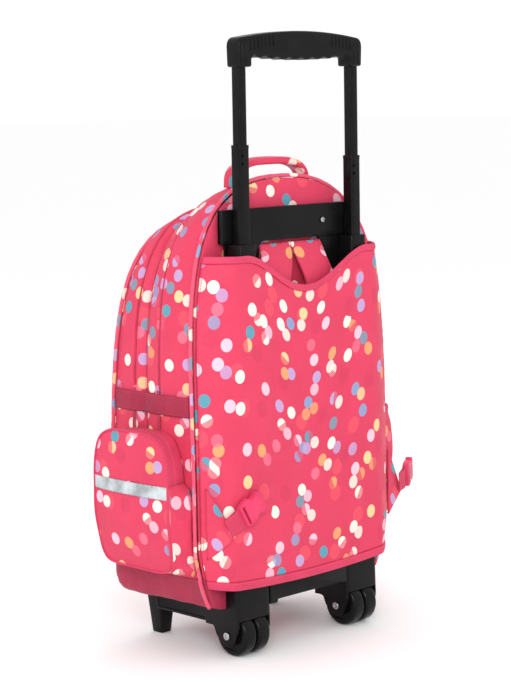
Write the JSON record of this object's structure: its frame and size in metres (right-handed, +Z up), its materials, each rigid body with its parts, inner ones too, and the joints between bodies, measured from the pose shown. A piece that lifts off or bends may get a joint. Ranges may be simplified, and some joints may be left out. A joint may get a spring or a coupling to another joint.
{
  "type": "wheeled backpack",
  "caption": "Arched school backpack with two zipped compartments and side pockets on a moulded wheel base, with a telescopic pull handle.",
  "frame": {"origin": "middle of the part's footprint box, on the floor", "axes": "+Z up; the pull handle and its cover face -Y, the bag's front faces +Y, +X across the bag, away from the zipped side pocket"},
  "size_m": [0.4384, 0.1954, 0.7145],
  "materials": {
    "printed_cloth": "Woven polyester with a printed confetti of overlapping dots on strong pink",
    "plain_pink": "Plain pink woven tape and lining",
    "dark_pink": "Plain darker pink heavy cloth, ribbed on the bands",
    "piping_pink": "Bright pink cloth-covered piping",
    "reflective": "Silver-grey reflective tape",
    "pink_plastic": "Pink moulded acetal, satin",
    "black_metal": "Black satin coating on square tube",
    "black_plastic": "Black moulded plastic, satin",
    "steel": "Plain steel",
    "wheel_black": "Black glossy moulded wheel"
  },
  "bodies": {
    "bag_and_base": {"back_panel": "printed_cloth", "main_gusset": "printed_cloth", "main_zip": "plain_pink", "front_gusset": "printed_cloth", "front_zip": "plain_pink", "divider": "plain_pink", "front_panel": "printed_cloth", "base_tray": "dark_pink", "back_piping": "piping_pink", "front_piping": "piping_pink", "side_band_left": "dark_pink", "side_band_right": "dark_pink", "side_pocket_left": "printed_cloth", "pocket_zip_band_left": "plain_pink", "reflective_strip_left": "reflective", "bottle_pocket_right": "printed_cloth", "bottle_pocket_hem": "plain_pink", "trolley_cover": "printed_cloth", "cover_top_binding": "plain_pink", "cover_bottom_binding": "plain_pink", "shoulder_strap_left": "printed_cloth", "shoulder_strap_right": "printed_cloth", "haul_handle": "printed_cloth", "corner_tab_left": "printed_cloth", "tab_webbing_left": "plain_pink", "buckle_left": "pink_plastic", "corner_tab_right": "printed_cloth", "tab_webbing_right": "plain_pink", "buckle_right": "pink_plastic", "fixed_tube_left": "black_metal", "collar_left": "black_plastic", "fixed_tube_right": "black_metal", "collar_right": "black_plastic", "bracket_plate": "black_plastic", "bracket_screw": "steel", "wheel_housing_left": "black_plastic", "axle_left": "steel", "base_rail_left": "black_plastic", "front_foot_left": "black_plastic", "wheel_housing_right": "black_plastic", "axle_right": "steel", "base_rail_right": "black_plastic", "front_foot_right": "black_plastic", "rear_beam": "black_plastic"},
    "middle_stage_left": {"middle_tube_left": "black_metal"},
    "middle_stage_right": {"middle_tube_right": "black_metal"},
    "grip_stage": {"inner_tube_left": "black_metal", "inner_tube_right": "black_metal", "grip": "black_plastic"},
    "wheel_left_outer_body": {"wheel_left_outer": "wheel_black"},
    "wheel_left_inner_body": {"wheel_left_inner": "wheel_black"},
    "wheel_right_outer_body": {"wheel_right_outer": "wheel_black"},
    "wheel_right_inner_body": {"wheel_right_inner": "wheel_black"}
  },
  "joints": [
    {"name": "middle_left_slide", "type": "slide", "parent": "bag_and_base", "child": "middle_stage_left", "axis": [0, 0, 1], "range_m": [-0.104, 0.083]},
    {"name": "middle_right_slide", "type": "slide", "parent": "bag_and_base", "child": "middle_stage_right", "axis": [0, 0, 1], "range_m": [-0.088, 0.1006]},
    {"name": "grip_slide", "type": "slide", "parent": "middle_stage_left", "child": "grip_stage", "axis": [0, 0, 1], "range_m": [-0.055, 0.106]},
    {"name": "wheel_left_outer_spin", "type": "hinge", "parent": "bag_and_base", "child": "wheel_left_outer_body", "pos_m": [-0.12349, -0.06542, 0.025], "axis": [1, 0, 0], "continuous": true},
    {"name": "wheel_left_inner_spin", "type": "hinge", "parent": "bag_and_base", "child": "wheel_left_inner_body", "pos_m": [-0.10149, -0.06542, 0.025], "axis": [1, 0, 0], "continuous": true},
    {"name": "wheel_right_outer_spin", "type": "hinge", "parent": "bag_and_base", "child": "wheel_right_outer_body", "pos_m": [0.08251, -0.06542, 0.025], "axis": [1, 0, 0], "continuous": true},
    {"name": "wheel_right_inner_spin", "type": "hinge", "parent": "bag_and_base", "child": "wheel_right_inner_body", "pos_m": [0.06051, -0.06542, 0.025], "axis": [1, 0, 0], "continuous": true}
  ]
}
